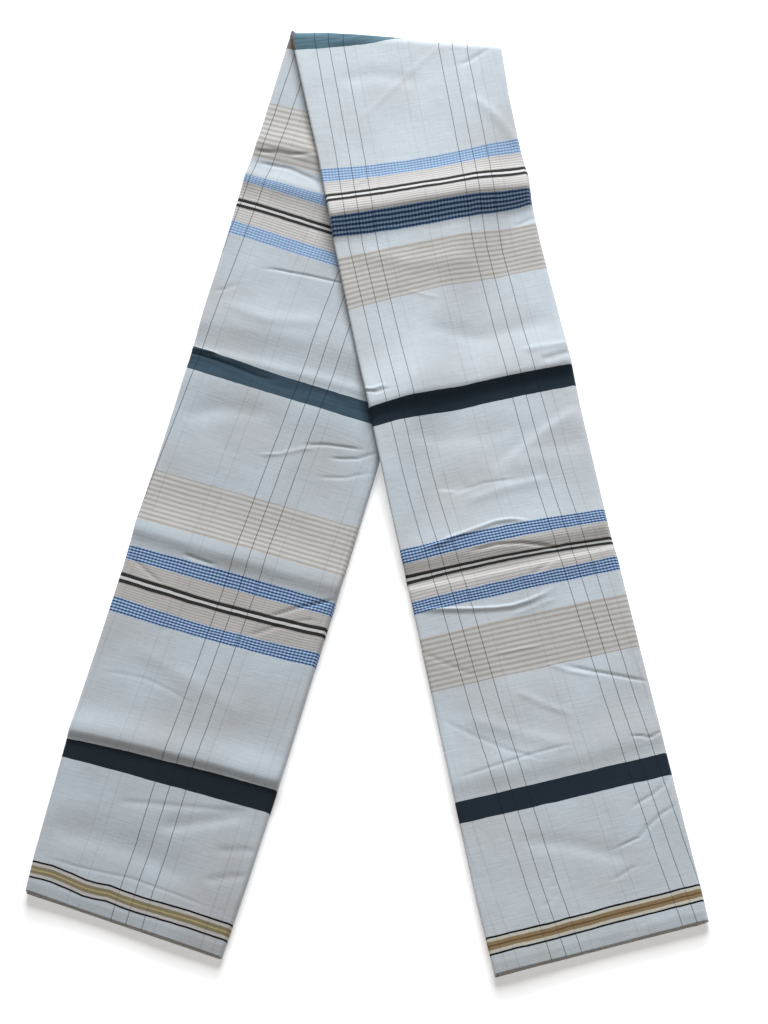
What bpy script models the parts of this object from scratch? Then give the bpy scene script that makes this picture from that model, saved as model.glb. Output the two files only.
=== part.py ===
# Lungi: one striped cotton cloth, folded lengthwise into a flat strip of sixteen layers, then
# turned over once at its middle, so that its halves lie as an inverted V on a flat surface.
# Metres, +Z up. The origin is at the middle of the footprint, on the surface it rests on.

from collections import namedtuple
import math

import bmesh
import bpy
from mathutils import Vector

mm = 0.001

# Thickness of the folded strip, and of what it is built from
strip_thick = 5.6 * mm
cover_wall = 1.2 * mm
seam_gap = 0.3 * mm
leg_gap = 0.7 * mm
apex_height = 2 * strip_thick + leg_gap
apex_radius = apex_height / 2

# Plan of the strip: the ends of the turned edge, and the corners of the two hems
turn_left = Vector((-0.0515, 0.3241))
turn_right = Vector((0.0871, 0.3141))
under_hem_left = Vector((-0.2033, -0.2724))
under_hem_right = Vector((-0.0861, -0.3146))
over_hem_left = Vector((0.0759, -0.3255))
over_hem_right = Vector((0.2026, -0.2910))

# How far from the hem the strip starts to thin
hem_reach = 6 * mm

# How far the over leg takes to come down beside the under leg
step_flat = 4 * mm
step_run = 38 * mm

# Side edges: w is the share of the way from the turn to the hem, shift is to the right
Bow = namedtuple("Bow", "w shift_mm")
under_left_bow = [
    Bow(0.00, 0.0), Bow(0.13, -0.2), Bow(0.18, -1.4), Bow(0.26, -1.1), Bow(0.33, -1.6),
    Bow(0.40, -0.8), Bow(0.50, -1.6), Bow(0.59, -3.0), Bow(0.64, -2.5), Bow(0.73, -3.4),
    Bow(0.83, -4.7), Bow(0.90, -3.6), Bow(0.96, -2.7), Bow(1.00, -1.2),
]
under_right_bow = [
    Bow(0.00, 0.0), Bow(0.24, 2.5), Bow(0.50, 3.5), Bow(0.61, 3.5), Bow(0.72, 2.9),
    Bow(0.82, 2.8), Bow(0.92, 1.6), Bow(0.97, 0.6), Bow(1.00, 0.0),
]
over_left_bow = [
    Bow(0.00, 0.0), Bow(0.15, 0.3), Bow(0.23, -1.5), Bow(0.37, -2.2), Bow(0.53, -2.2),
    Bow(0.63, -1.3), Bow(0.93, -1.3), Bow(1.00, 0.0),
]
over_right_bow = [
    Bow(0.00, 0.0), Bow(0.06, -2.4), Bow(0.13, -2.5), Bow(0.16, -1.6), Bow(0.19, -3.3),
    Bow(0.24, -3.5), Bow(0.31, -2.6), Bow(0.38, -1.8), Bow(0.43, -2.6), Bow(0.57, -2.7),
    Bow(0.61, -1.6), Bow(0.70, -0.9), Bow(0.79, 0.0), Bow(0.87, 0.7), Bow(0.96, 1.8),
    Bow(1.00, 1.9),
]

# Looseness of the turn: how far it stands out beyond a plain half round, from left to right
turn_bulges_mm = [1.4, 2.3, 2.5, 1.6, 0.5, 0.3, 0.2]

# Storage creases across the strip, as soft swells between u_from and u_to
Crease = namedtuple("Crease", "w_left w_right height_mm half_mm u_from u_to")
under_creases = [
    Crease(0.173, 0.190, 1.8, 9, -0.50, 0.26),
    Crease(0.385, 0.409, 2.2, 10, -0.50, 0.74),
    Crease(0.610, 0.622, 2.0, 11, -0.50, 1.50),
    Crease(0.825, 0.815, 2.4, 11, -0.50, 1.50),
]
over_creases = [
    Crease(0.219, 0.192, 2.2, 9, -0.50, 1.50),
    Crease(0.411, 0.399, 2.3, 10, -0.50, 1.50),
    Crease(0.610, 0.591, 1.6, 11, -0.50, 1.50),
    Crease(0.820, 0.809, 1.8, 11, -0.50, 1.50),
]

Leg = namedtuple("Leg", "name hem_left hem_right left_bow right_bow creases lies_over")
under_leg = Leg(
    "under_leg", under_hem_left, under_hem_right, under_left_bow, under_right_bow,
    under_creases, False,
)
over_leg = Leg(
    "over_leg", over_hem_left, over_hem_right, over_left_bow, over_right_bow,
    over_creases, True,
)

# The turn runs from left to right, and its inward side faces the hems
turn_along = (turn_right - turn_left).normalized()
turn_inward = Vector((turn_along.y, -turn_along.x))


def smooth(share):
    share = min(max(share, 0.0), 1.0)
    return share * share * (3 - 2 * share)


def shift_at(bow, w):
    for low, high in zip(bow, bow[1:]):
        if w <= high.w:
            share = (w - low.w) / (high.w - low.w)
            return mm * (low.shift_mm + share * (high.shift_mm - low.shift_mm))
    return mm * bow[-1].shift_mm


def edge_point(leg, right_side, w):
    start = turn_right if right_side else turn_left
    hem = leg.hem_right if right_side else leg.hem_left
    bow = leg.right_bow if right_side else leg.left_bow
    return start + (hem - start) * w + Vector((shift_at(bow, w), 0))


def bulge_at(share):
    place = min(max(share, 0.0), 1.0) * (len(turn_bulges_mm) - 1)
    index = min(int(place), len(turn_bulges_mm) - 2)
    low, high = turn_bulges_mm[index:index + 2]
    return mm * (low + (high - low) * (place - index))


def leg_length(leg):
    return ((leg.hem_left - turn_left).length + (leg.hem_right - turn_right).length) / 2


def swell_at(leg, u, w):
    swell = 0.0
    for crease in leg.creases:
        line = crease.w_left + u * (crease.w_right - crease.w_left)
        away = (w - line) * leg_length(leg) / (crease.half_mm * mm)
        fade = smooth((u - crease.u_from) / 0.15) * smooth((crease.u_to - u) / 0.15)
        swell += crease.height_mm * mm * math.exp(-away * away) * fade
    return swell


def lift_at(point):
    # Height of the table or of the under leg beneath a point of the over leg
    start = turn_right
    along = (under_hem_right - start).normalized()
    outward = Vector((-along.y, along.x))
    w = (point - start).dot(along) / (under_hem_right - start).length
    edge = edge_point(under_leg, True, min(max(w, 0.0), 1.0))
    beside = (point - edge).dot(outward)
    fall = smooth((beside - step_flat) / step_run)
    return (strip_thick + leg_gap) * (1 - fall)


def start_share(leg, right_side):
    # Where the leg begins, just inside the rounded turn
    start = turn_right if right_side else turn_left
    hem = leg.hem_right if right_side else leg.hem_left
    return (apex_radius + seam_gap) / (hem - start).dot(turn_inward)


def hem_taper(leg, w):
    share = 1 - (1 - w) * leg_length(leg) / hem_reach
    return 1 - 0.12 * min(max(share, 0.0), 1.0)


def arc(centre_a, centre_z, radius, first, last, count):
    points = []
    for index in range(count):
        angle = math.radians(first + (last - first) * index / (count - 1))
        points.append((centre_a + radius * math.cos(angle), centre_z + radius * math.sin(angle)))
    return points


def top_places(width, first, last_inset, count):
    last = width - last_inset
    return [first + (last - first) * index / (count - 1) for index in range(count)]


# Cover: its open side ends in a rounded lip, its other side goes round the folded edge
top_count = 12
lip_bottom = strip_thick / 2 + 0.15 * mm
lip_radius = (strip_thick - lip_bottom) / 2
lip_inside = 2.4 * mm
spine_radius = strip_thick / 2
tail_length = 4 * mm


def cover_section(width):
    inner_top = strip_thick - cover_wall
    outer = arc(lip_radius, lip_bottom + lip_radius, lip_radius, 270, 90, 5)
    inner = [(lip_inside, lip_bottom + (inner_top - lip_bottom) * step / 4) for step in range(5)]
    places = top_places(width, lip_radius, spine_radius, top_count)[1:-1]
    outer += [(place, strip_thick) for place in places]
    inner += [(max(place, lip_inside + mm), inner_top) for place in places]
    spine = width - spine_radius
    outer += arc(spine, spine_radius, spine_radius, 90, -90, 7)
    inner += arc(spine, spine_radius, spine_radius - cover_wall, 90, -90, 7)
    outer.append((spine - tail_length, 0.0))
    inner.append((spine - tail_length, cover_wall))
    return outer, inner


def layers_section(width):
    # Hidden layers: at the open side a nose for each group of layers, largest at the top
    top = strip_thick - cover_wall - seam_gap
    foot = strip_thick / 2 - 0.15 * mm
    left = lip_inside + seam_gap
    loop = [(left, top), (left, (top + foot) / 2), (left, foot)]
    loop += [(1.4 * mm, foot), (0.7 * mm, 2.4 * mm), (0.4 * mm, 2.0 * mm), (0.7 * mm, 1.6 * mm)]
    loop += [(1.7 * mm, 1.40 * mm), (1.1 * mm, 1.25 * mm), (0.9 * mm, 1.0 * mm)]
    loop += [(1.2 * mm, 0.78 * mm), (1.9 * mm, 0.68 * mm), (1.4 * mm, 0.55 * mm)]
    loop += [(1.3 * mm, 0.2 * mm), (1.6 * mm, 0.0)]
    spine = width - spine_radius
    tail = spine - tail_length - seam_gap
    places = top_places(width, 1.6 * mm, width - tail, 5)[1:]
    loop += [(place, 0.0) for place in places]
    loop.append((tail, cover_wall + seam_gap))
    inside = spine_radius - cover_wall - seam_gap
    loop += arc(spine, spine_radius, inside, -90, 90, 5)
    places = top_places(width, left, spine_radius, top_count)[1:-1]
    loop += [(place, top) for place in reversed(places)]
    return loop


def lower_top(section, width, share):
    # Brings a section's top down, for the steps of the layers' ends
    foot = 1.6 * mm
    return [
        (min(a, width - spine_radius), z if z < foot else foot + (z - foot) * share)
        for a, z in section
    ]


def place_on_leg(leg, w_pair, section):
    # Stands a cross-section up on the leg, between its two edges
    left = edge_point(leg, False, w_pair[0])
    right = edge_point(leg, True, w_pair[1])
    width = (right - left).length
    across = (right - left) / width
    placed = []
    for a, z in section:
        u = a / width
        w = w_pair[0] + u * (w_pair[1] - w_pair[0])
        point = left + across * a
        height = z * (1 + swell_at(leg, u, w) / strip_thick) * hem_taper(leg, w)
        if leg.lies_over:
            height += lift_at(point)
        placed.append((point.x, point.y, height))
    return placed


def station_pairs(leg):
    # Lines across the leg: close together at each crease, wider apart between them
    length = leg_length(leg)
    keys = [(start_share(leg, False), start_share(leg, True))]
    for crease in leg.creases:
        reach = crease.half_mm * mm / length
        for offset in (-1.5, -0.6, 0.0, 0.6, 1.5):
            keys.append((crease.w_left + offset * reach, crease.w_right + offset * reach))
    keys.append((1 - hem_reach / length, 1 - hem_reach / length))
    keys.append((1.0, 1.0))
    pairs = [keys[0]]
    for low, high in zip(keys, keys[1:]):
        steps = max(1, round((high[0] + high[1] - low[0] - low[1]) / 2 * length / (25 * mm)))
        for step in range(1, steps + 1):
            share = step / steps
            pairs.append((
                low[0] + share * (high[0] - low[0]),
                low[1] + share * (high[1] - low[1]),
            ))
    return pairs


def width_at(leg, w_pair):
    return (edge_point(leg, True, w_pair[1]) - edge_point(leg, False, w_pair[0])).length


def place_on_apex(angle, section):
    # Stands a cross-section up on the half round of the turn, at one angle
    share = (angle + 90) / 180
    ends = []
    for right_side in (False, True):
        start = turn_right if right_side else turn_left
        low = edge_point(under_leg, right_side, start_share(under_leg, right_side))
        high = edge_point(over_leg, right_side, start_share(over_leg, right_side))
        end = low + (high - low) * share
        inset = apex_radius - (end - start).dot(turn_inward)
        ends.append(end + turn_inward * inset)
    left, right = ends
    across = (right - left).normalized()
    turn = math.radians(angle)
    placed = []
    for a, z in section((right - left).length):
        radius = leg_gap / 2 + z
        reach = radius * (1 + bulge_at(a / (right - left).length) / apex_radius)
        point = left + across * a - turn_inward * (reach * math.cos(turn))
        placed.append((point.x, point.y, apex_radius + radius * math.sin(turn)))
    return placed


def loft(mesh, rings):
    # Joins each ring of points to the next, and returns the rings' vertices
    rows = [[mesh.verts.new(point) for point in ring] for ring in rings]
    for low, high in zip(rows, rows[1:]):
        count = len(low)
        for index in range(count):
            after = (index + 1) % count
            mesh.faces.new((low[index], low[after], high[after], high[index]))
    return rows


def cap_wall(mesh, row):
    # Closes the end of a wall: its ring holds the outer points, then the inner ones reversed
    half = len(row) // 2
    for index in range(half - 1):
        mesh.faces.new((row[index], row[index + 1], row[-2 - index], row[-1 - index]))


def wall_ring(section):
    outer, inner = section
    return outer + inner[::-1]


def finish(name, mesh, collection, material):
    bmesh.ops.remove_doubles(mesh, verts=mesh.verts, dist=0.00001)
    bmesh.ops.recalc_face_normals(mesh, faces=mesh.faces)
    bmesh.ops.triangulate(mesh, faces=mesh.faces, ngon_method="EAR_CLIP")
    data = bpy.data.meshes.new(name)
    mesh.to_mesh(data)
    mesh.free()
    data.materials.append(material)
    node = bpy.data.objects.new(name, data)
    collection.objects.link(node)
    return node


def build_leg(leg, collection, cloth, folded):
    pairs = station_pairs(leg)
    mesh = bmesh.new()
    rings = []
    for pair in pairs:
        rings.append(place_on_leg(leg, pair, wall_ring(cover_section(width_at(leg, pair)))))
    rows = loft(mesh, rings)
    cap_wall(mesh, rows[0])
    cap_wall(mesh, rows[-1])
    finish(leg.name + "_cloth", mesh, collection, cloth)

    # The layers' own ends step back below the cover at the hem
    mesh = bmesh.new()
    rings = []
    for pair in pairs:
        rings.append(place_on_leg(leg, pair, layers_section(width_at(leg, pair))))
    rings = rings[:-1]
    for back_mm, share in ((1.3, 1.0), (1.3, 0.62), (0.9, 0.62), (0.9, 0.24), (0.5, 0.24)):
        end = 1.0 - back_mm * mm / leg_length(leg)
        width = width_at(leg, (end, end))
        section = layers_section(width)
        if share < 1:
            section = lower_top(section, width, share)
        rings.append(place_on_leg(leg, (end, end), section))
    rows = loft(mesh, rings)
    mesh.faces.new(rows[0])
    mesh.faces.new(rows[-1])
    finish(leg.name + "_layers", mesh, collection, folded)


def build_apex(collection, cloth, folded):
    angles = [-90 + 18 * index for index in range(11)]
    mesh = bmesh.new()
    rows = loft(mesh, [place_on_apex(a, lambda w: wall_ring(cover_section(w))) for a in angles])
    cap_wall(mesh, rows[0])
    cap_wall(mesh, rows[-1])
    finish("apex_cloth", mesh, collection, cloth)
    mesh = bmesh.new()
    rows = loft(mesh, [place_on_apex(a, layers_section) for a in angles])
    mesh.faces.new(rows[0])
    mesh.faces.new(rows[-1])
    finish("apex_layers", mesh, collection, folded)


def cotton(name, colour):
    material = bpy.data.materials.new(name)
    material.use_nodes = True
    shader = material.node_tree.nodes["Principled BSDF"]
    shader.inputs["Base Color"].default_value = (*colour, 1.0)
    shader.inputs["Roughness"].default_value = 0.85
    return material


def clear_scene():
    for old in list(bpy.data.objects):
        bpy.data.objects.remove(old, do_unlink=True)


clear_scene()
lungi = bpy.data.collections.new("lungi")
bpy.context.scene.collection.children.link(lungi)
striped_cotton = cotton("striped_cotton", (0.66, 0.72, 0.77))
folded_cotton = cotton("folded_cotton", (0.58, 0.62, 0.66))
build_leg(under_leg, lungi, striped_cotton, folded_cotton)
build_leg(over_leg, lungi, striped_cotton, folded_cotton)
build_apex(lungi, striped_cotton, folded_cotton)
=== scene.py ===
import math

import bmesh
import bpy
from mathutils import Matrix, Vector, noise


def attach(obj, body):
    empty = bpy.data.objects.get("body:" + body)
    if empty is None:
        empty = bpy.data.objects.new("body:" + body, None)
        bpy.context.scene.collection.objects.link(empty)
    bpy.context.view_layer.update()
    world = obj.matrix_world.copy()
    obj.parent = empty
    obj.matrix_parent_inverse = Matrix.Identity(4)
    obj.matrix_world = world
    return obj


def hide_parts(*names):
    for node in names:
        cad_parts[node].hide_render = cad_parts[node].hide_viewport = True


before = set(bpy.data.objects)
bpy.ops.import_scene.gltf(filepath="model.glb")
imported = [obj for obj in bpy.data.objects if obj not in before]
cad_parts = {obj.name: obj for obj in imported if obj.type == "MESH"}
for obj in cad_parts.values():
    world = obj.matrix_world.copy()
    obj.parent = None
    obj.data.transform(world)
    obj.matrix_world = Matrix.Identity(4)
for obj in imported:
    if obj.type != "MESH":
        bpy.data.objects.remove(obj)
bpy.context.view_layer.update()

# Lungi: a striped handloom cotton cloth, folded lengthwise into sixteen layers and turned over
# once at its middle, so that the two legs of the strip lie as an inverted V. Metres, +Z up.

mm = 0.001
print("frame loaded:", len(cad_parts), "CAD nodes")

# The folded strip, in millimetres
strip = {
    "thick": 5.6,  # all sixteen layers
    "width": 136.0,  # gives the number of mesh columns
    "legGap": 0.7,  # between the legs where one lies on the other
    "seamGap": 0.05,  # the legs begin this far inside the round of the turn
    "seamOverlap": 1.5,  # and the under leg runs on into it
    "stepFlat": 4.0,  # the over leg stays level this far beyond the under leg
    "stepRun": 38.0,  # and comes down to the table over this length
    "heldFrom": -2.0,  # the under leg is held flat from this far beside the over leg's edge
    "heldRun": 10.0,
    "turnBulges": [(0, 3.2), (.025, 0.2), (.17, 2.2), (.33, 2.5), (.5, 1.6), (.67, 0.5),
                   (.83, 0.3), (1, 0.2)],  # (u, how far the turn stands out)
    "turnRelief": (-30.0, 120.0),  # the waves come in from this angle, over this many degrees
    "hemReach": 6.0,  # thinner over this length before the hem
    "hemThinner": 0.12,  # by this share
    "rippleFrom": 0.92,  # w where the ripples of the border come in
    "rippleRun": 0.03,
    "creaseLimit": 2.6,  # a crease or wrinkle ends at this many of its reaches
    "creaseFade": 0.15,  # share of the width over which a crease fades
    "wrinkleFade": 0.22,  # share of a wrinkle's length, at each end
    "crest": (0.12, 0.888),  # roundness of a step's crest and of its foot, each with its scale
    "foot": (0.18, 2.016),
    "slowWaves": (45.0, 60.0, 1.0),  # length along x and y, and height
    "quickWaves": (16.0, 21.0, 0.32),
    "waveLift": 0.55,
}
thick = strip["thick"] * mm
legGap = strip["legGap"] * mm
turnRadius = (2 * thick + legGap) / 2
turnLeft, turnRight = Vector((-0.0515, 0.3241)), Vector((0.0871, 0.3141))
turnAlong = (turnRight - turnLeft).normalized()
turnInward = Vector((turnAlong.y, -turnAlong.x))

# One leg each. w runs from the turn (0) to the hem (1) and u from the left edge (0) to the
# right edge (1). Bows are (w, shift to the right in mm).
# Bands are (place in the cloth in mm from its middle, then w at the left, middle and right).
# Threads are (w, mm from the left edge to the first warp line of one group and of the next).
# Creases are (w at the left, middle and right, height, reach towards the turn, reach towards
# the hem, u where it ends), steps the same with a straight fall towards the hem and no end,
# and wrinkles (height, the same two reaches, points as u, w), in mm. Ripples are (u, shift in
# mm) of the woven border.
underLeg = {
    "name": "under",
    "hemLeft": Vector((-0.2033, -0.2724)),
    "hemRight": Vector((-0.0861, -0.3146)),
    "liesOver": False,
    "waveShift": 0.0,
    "leftBow": [(0, 0), (.13, -.2), (.18, -1.4), (.26, -1.1), (.33, -1.6), (.40, -.8),
                (.50, -1.6), (.59, -3.0), (.64, -2.5), (.73, -3.4), (.83, -4.7),
                (.90, -3.6), (.96, -2.7), (1, -1.2)],
    "rightBow": [(0, 0), (.24, 2.5), (.50, 3.5), (.61, 3.5), (.72, 2.9), (.82, 2.8),
                 (.92, 1.6), (.97, .6), (1, 0)],
    "bands": [(-76, .0891, .105, .122), (-113.5, .1568, .175, .197),
              (-131, .1803, .199, .219), (-140.6, .1897, .2104, .231),
              (-150.9, .2087, .229, .250), (-156.7, .2182, .2375, .258),
              (-167, .2359, .2569, .276), (-176.5, .2509, .2712, .291),
              (-264.5, .3890, .4068, .4205), (-279.5, .4155, .4297, .4435),
              (-348, .5323, .5420, .5514), (-385.5, .5911, .5990, .6073),
              (-403, .6197, .6259, .6337), (-412.6, .6353, .6425, .6485),
              (-422.9, .6512, .6589, .6620), (-428.7, .6619, .6686, .6717),
              (-439, .6782, .6860, .6881), (-448.5, .6945, .7002, .7029),
              (-536.5, .8357, .8320, .8315), (-551.5, .8557, .8550, .8548),
              (-623.5, .9694, .9686, .9684), (-634, .9858, .9846, .9841)],
    "ripples": [(0, 0), (.10, -1.1), (.20, 0), (.27, 1.3), (.33, .7), (.39, -.4), (.46, .5),
                (.56, .7), (.70, .2), (1, 0)],
    "threads": [(0, -2.1, 84), (.17, -4.9, 81.5), (.25, -8.4, 77.9), (.4, -13.9, 72),
                (.5, -17.6, 68), (.75, -23.5, 62), (.92, -27, 58.3), (1, -30.5, 54.8)],
    "creases": [
        (.138, .151, .167, 2.6, 12, 8, 1.5),
        (.181, .198, .218, 2.7, 7, 9, 1.5),
        (.355, .360, .372, 1.6, 16, 11, 1.5),
        (.393, .4000, .412, 0.9, 4, 4, 1.1),
        (.418, .431, .444, 1.6, 8, 17, 1.5),
        (.600, .609, .617, 2.5, 15, 7, 1.5),
        (.8258, .8224, .8222, 3.2, 13, 5.0, 1.5),
    ],
    "steps": [],
    "wrinkles": [
        (-0.75, 0.85, 1.1, [(.18, .287), (.27, .285), (.46, .288), (.58, .291), (.72, .296)]),
        (-0.5, 0.9, 1.2, [(.02, .320), (.07, .315), (.12, .306)]),
        (1.12, 0.9, 1.1, [(-.02, .389), (.05, .390), (.13, .3915)]),
        (-0.8, 0.9, 0.9, [(-.02, .3945), (.05, .396), (.15, .399)]),
        (-0.7, 1.2, 1.6, [(.09, .398), (.20, .402), (.32, .409), (.44, .412)]),
        (0.6, 0.8, 1.2, [(.44, .496), (.54, .491), (.64, .481), (.70, .477)]),
        (-0.75, 0.8, 1.1, [(.62, .477), (.73, .472), (.81, .471), (.92, .471)]),
        (-0.75, 0.8, 1.1, [(.76, .486), (.90, .481), (1.0, .469)]),
        (-0.5, 0.9, 1.2, [(.74, .508), (.87, .503), (.98, .493)]),
        (-0.7, 0.9, 1.3, [(.25, .6165), (.33, .619), (.42, .6215)]),
        (-0.7, 0.8, 0.9, [(.02, .631), (.11, .643), (.21, .654)]),
        (-0.75, 0.85, 1, [(.66, .687), (.72, .678), (.80, .667)]),
        (-1.2, 0.8, 1.0, [(.70, .666), (.84, .647), (1.01, .630)]),
        (-0.5, 0.9, 1.2, [(.80, .672), (.865, .660), (.94, .655)]),
        (-0.4, 1.8, 2.4, [(.26, .887), (.50, .876), (.64, .870), (.94, .857)]),
        (-1.0, 5, 3.8, [(.50, .900), (.65, .888), (.92, .860)]),
        (-0.5, 2.5, 3, [(.80, .906), (.90, .899), (1.0, .893)]),
        (-0.5, 2.5, 3, [(.79, .937), (.90, .927), (1.0, .918)]),
        (-1.2, 11, 8, [(.0, .918), (.14, .928), (.32, .926), (.58, .930), (.80, .945)]),
        (-0.3, 0.9, 1.1, [(.01, .962), (.25, .960), (.48, .955), (.70, .957), (.92, .960)]),
        (-0.8, 1.1, 1.3, [(.0, .149), (.116, .147), (.18, .149), (.30, .145)]),
        (-0.9, 1.3, 1.8, [(.01, .160), (.196, .165), (.30, .173), (.42, .184)]),
        (-0.5, 1, 1.2, [(.20, .133), (.36, .131), (.60, .129)]),
        (0.75, 3, 3.5, [(.40, .144), (.62, .168), (.75, .178)]),
        (-0.2, 1, 1.4, [(.03, .761), (.14, .756), (.27, .755), (.40, .761), (.54, .772)]),
        (0.4, 5, 6, [(.10, .720), (.30, .735), (.55, .752), (.80, .770)]),
        (0.6, 5, 4, [(.05, .330), (.30, .345), (.60, .338)]),
        (-0.8, 7, 6, [(.02, .470), (.22, .452), (.48, .448)]),
        (-0.6, 6, 5, [(.30, .225), (.55, .240), (.90, .258)]),
    ],
}
overLeg = {
    "name": "over",
    "hemLeft": Vector((0.0759, -0.3255)),
    "hemRight": Vector((0.2026, -0.2910)),
    "liesOver": True,
    "waveShift": 3.7,
    "leftBow": [(0, 0), (.15, .3), (.23, -1.5), (.37, -2.2), (.53, -2.2), (.63, -1.3),
                (.93, -1.3), (1, 0)],
    "rightBow": [(0, 0), (.06, -2.4), (.13, -2.5), (.16, -1.6), (.19, -3.3), (.24, -3.5),
                 (.31, -2.6), (.38, -1.8), (.43, -2.6), (.57, -2.7), (.61, -1.6), (.70, -.9),
                 (.79, 0), (.87, .7), (.96, 1.8), (1, 1.9)],
    "bands": [(7.5, .0225, .0040, -.026), (95.5, .1607, .1466, .1200),
              (105, .1759, .1607, .1355), (115.3, .1919, .1764, .1539),
              (121.1, .2022, .1867, .1651), (131.4, .2198, .2026, .1824),
              (141, .2390, .2238, .1994), (158.5, .2597, .2400, .2193),
              (196, .3174, .2945, .2733), (264.5, .4258, .4054, .3891),
              (279.5, .4450, .4273, .4118), (367.5, .5738, .5609, .5540),
              (377, .5884, .5761, .5677), (387.3, .5990, .5905, .5840),
              (393.1, .6078, .5972, .5912), (403.4, .6275, .6169, .6071),
              (413, .6406, .6310, .6223), (430.5, .6652, .6560, .6485),
              (468, .7207, .7144, .7081), (536.5, .8317, .8280, .8233),
              (551.5, .8527, .8504, .8470), (623.5, .9658, .9648, .9633),
              (634, .9815, .9807, .9800)],
    "ripples": [(0, 0), (.30, .3), (.55, -.3), (1, 0)],
    "threads": [(0, 15.2, 96.9), (.25, 9.3, 89.3), (.5, 12.7, 93.2), (.75, 21.7, 102.8),
                (1, 35.5, 116.7)],
    "creases": [
        (.4215, .4010, .3840, 4.2, 23, 7.5, 1.5),
        (.585, .578, .571, 1.9, 16, 7, 1.5),
        (.6110, .6035, .5930, -1.2, 9, 2.2, 1.5),
        (.617, .609, .600, 0.8, 2.5, 12, 1.5),
        (.812, .809, .802, 1.3, 14, 8, 1.5),
    ],
    "steps": [(.2165, .1980, .1785, 8.3, 16, 15.0)],
    "wrinkles": [
        (1.3, 0.8, 2.0, [(.06, .578), (.19, .572), (.26, .567), (.39, .560), (.47, .555),
                          (.55, .554), (.60, .556), (.66, .561)]),
        (1.3, 0.8, 2.0, [(-.02, .637), (.11, .639), (.26, .643), (.38, .645), (.46, .645),
                          (.54, .642), (.61, .637), (.69, .629)]),
        (0.3, 1.2, 1.9, [(.42, .656), (.55, .650), (.68, .642)]),
        (-0.9, 0.85, 1.3, [(.30, .585), (.46, .580), (.57, .581), (.65, .584), (.76, .591)]),
        (-0.6, 0.9, 1.1, [(.57, .617), (.72, .600)]),
        (0.3, 1, 1.2, [(.31, .693), (.46, .691), (.56, .691)]),
        (0.45, 1, 1.2, [(.55, .709), (.65, .722), (.76, .732)]),
        (-0.8, 0.85, 1.2, [(.62, .713), (.76, .726), (.87, .735), (1.02, .748)]),
        (-0.4, 0.9, 1.2, [(-.02, .677), (.09, .694), (.23, .714)]),
        (0.44, 2.5, 1.9, [(.37, .732), (.50, .752), (.63, .769)]),
        (-0.4, 0.9, 1.2, [(.0, .745), (.135, .768), (.28, .790), (.46, .810)]),
        (-0.35, 0.9, 1.2, [(.01, .810), (.373, .800), (.545, .797), (.62, .798)]),
        (0.25, 1, 1.6, [(.30, .299), (.45, .309)]),
        (-0.5, 1.2, 1.6, [(.88, .222), (1.02, .208)]),
        (0.4, 1.1, 1.6, [(.12, .184), (.25, .167)]),
        (-0.7, 0.7, 0.9, [(.84, .799), (.90, .801), (.94, .805), (1.04, .796)]),
        (-0.7, 0.7, 0.9, [(.77, .874), (.836, .867), (.89, .863), (.94, .857), (1.0, .843)]),
        (-0.7, 0.7, 0.9, [(.64, .911), (.70, .907), (.78, .903), (.84, .893), (.90, .885),
                          (1.0, .876)]),
        (-0.4, 0.9, 1.1, [(.61, .940), (.75, .929)]),
        (-0.5, 0.75, 0.8, [(.358, .912), (.341, .923), (.350, .931), (.340, .941), (.320, .946),
                           (.27, .951)]),
        (0.75, 3, 4, [(.80, .064), (.93, .097), (1.02, .132)]),
        (0.4, 1.0, 1.4, [(.21, .110), (.40, .072), (.578, .034), (.76, -.002)]),
        (-0.7, 6, 5, [(.16, .060), (.35, .048), (.60, .056)]),
        (-0.85, 0.9, 1.0, [(.77, .034), (.90, .014), (1.0, -.004)]),
        (-0.75, 13, 1.6, [(.24, .512), (.33, .517), (.40, .513)]),
        (0.9, 1, 1.2, [(-.02, .407), (.03, .410), (.10, .405)]),
        (-0.6, 0.8, 1.0, [(-.02, .4095), (.05, .4135), (.12, .409)]),
        (0.62, 2.5, 4, [(.34, .532), (.55, .519), (.80, .512)]),
        (-0.35, 0.9, 1.3, [(.26, .524), (.46, .512), (.63, .510)]),
        (1.5, 4, 14, [(.55, .500), (.80, .462), (1.02, .434)]),
        (-0.9, 12, 7, [(.12, .450), (.32, .460), (.52, .459), (.74, .446)]),
        (-0.9, 2.2, 2.6, [(.84, .383), (.94, .377), (1.06, .370)]),
        (0.6, 2.0, 2.4, [(.76, .370), (.90, .365), (1.05, .361)]),
        (-1.2, 16, 8, [(.46, .492), (.72, .476), (1.03, .472)]),
        (0.6, 5, 6, [(.05, .255), (.35, .268), (.70, .262)]),
        (0.6, 4, 5, [(.10, .748), (.35, .776), (.62, .802)]),
        (-0.8, 7, 6, [(.30, .338), (.60, .352), (1.0, .330)]),
        (-0.8, 6, 5, [(.20, .880), (.45, .893), (.75, .925)]),
    ],
}
legs = (underLeg, overLeg)


def smooth(share):
    # Eases from 0 to 1
    share = min(max(share, 0.0), 1.0)
    return share * share * (3 - 2 * share)


def between(table, place, column=1):
    # Straight-line value of one column of a table at a place in its first
    for low, high in zip(table, table[1:]):
        if place <= high[0] or high is table[-1]:
            share = min(max((place - low[0]) / (high[0] - low[0]), 0.0), 1.0)
            return low[column] + share * (high[column] - low[column])


def edgeEnds(leg, rightSide):
    # An edge's two ends, at the turn and at the hem
    return (turnRight, leg["hemRight"]) if rightSide else (turnLeft, leg["hemLeft"])


def edgePoint(leg, rightSide, w):
    start, hem = edgeEnds(leg, rightSide)
    bow = leg["rightBow"] if rightSide else leg["leftBow"]
    return start + (hem - start) * w + Vector((between(bow, w) * mm, 0))


def rowWidth(leg, wPair):
    # Width of a row with its own w at the left and right edges
    return (edgePoint(leg, True, wPair[1]) - edgePoint(leg, False, wPair[0])).length


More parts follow.
